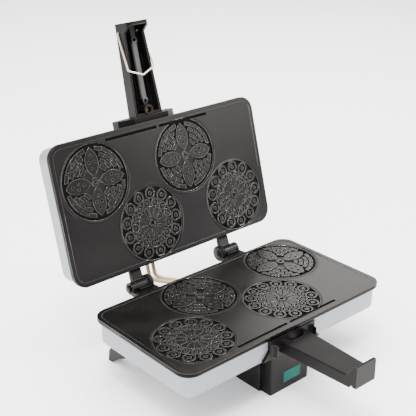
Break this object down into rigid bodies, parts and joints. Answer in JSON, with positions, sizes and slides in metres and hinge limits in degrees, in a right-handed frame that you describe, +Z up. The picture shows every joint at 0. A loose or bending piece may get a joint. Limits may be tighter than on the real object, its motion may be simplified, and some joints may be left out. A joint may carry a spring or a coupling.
{
  "type": "mini pizzelle baker",
  "caption": "Electric pizzelle baker: hinged non-stick patterned plates in satin metal casings, long moulded handles, a wire latch and a front housing with a pilot lens.",
  "frame": {"origin": "centre of the front housing's sole, on the standing surface", "axes": "+X to the right seen from the handles, +Y towards the hinge, +Z up"},
  "size_m": [0.26, 0.3343, 0.3149],
  "materials": {
    "nonstick_plate": "satin dark non-stick coating on cast aluminium",
    "satin_casing": "satin silver paint",
    "zinc_steel": "zinc plated",
    "reflector_sheet": "bright rolled sheet",
    "element_tube": "heat-tinted sheath",
    "bright_wire": "bright drawn wire",
    "teal_lens": "translucent moulded lens",
    "ceramic_part": "pale ceramic",
    "lead_sleeve": "varnished glass-fibre sleeve",
    "black_rubber": "matt",
    "black_moulding": "satin phenolic moulding"
  },
  "bodies": {
    "base": {"lower_grid_plate": "nonstick_plate", "lower_casing": "satin_casing", "lower_heat_shield": "reflector_sheet", "lower_heating_element": "element_tube", "thermostat": "ceramic_part", "lower_casing_screws": "zinc_steel", "lower_spacers": "zinc_steel", "control_housing": "black_moulding", "front_cover": "black_moulding", "indicator_lens": "teal_lens", "indicator_lamp": "ceramic_part", "lower_handle": "black_moulding", "left_rear_leg": "black_moulding", "right_rear_leg": "black_moulding", "left_hinge_pin": "zinc_steel", "right_hinge_pin": "zinc_steel", "pin_retainers": "zinc_steel", "lower_lead_grommets": "black_rubber", "cord_bushing": "black_rubber", "left_jumper_lead": "lead_sleeve", "right_jumper_lead": "lead_sleeve"},
    "lid": {"upper_grid_plate": "nonstick_plate", "upper_casing": "satin_casing", "upper_heat_shield": "reflector_sheet", "upper_heating_element": "element_tube", "upper_casing_screws": "zinc_steel", "upper_spacers": "zinc_steel", "upper_handle_mount": "black_moulding", "upper_handle": "black_moulding", "upper_lead_grommets": "black_rubber"},
    "bail": {"latch_bail": "bright_wire"}
  },
  "joints": [
    {"name": "lid_hinge", "type": "hinge", "parent": "base", "child": "lid", "pos_m": [0, 0.1156, 0.0678], "axis": [1, 0, 0], "range_deg": [0, 105], "deforming": ["left_jumper_lead", "right_jumper_lead"]},
    {"name": "bail_swing", "type": "hinge", "parent": "lid", "child": "bail", "pos_m": [0, 0.19923, 0.3011], "axis": [-1, 0, 0], "range_deg": [0, 330]}
  ]
}
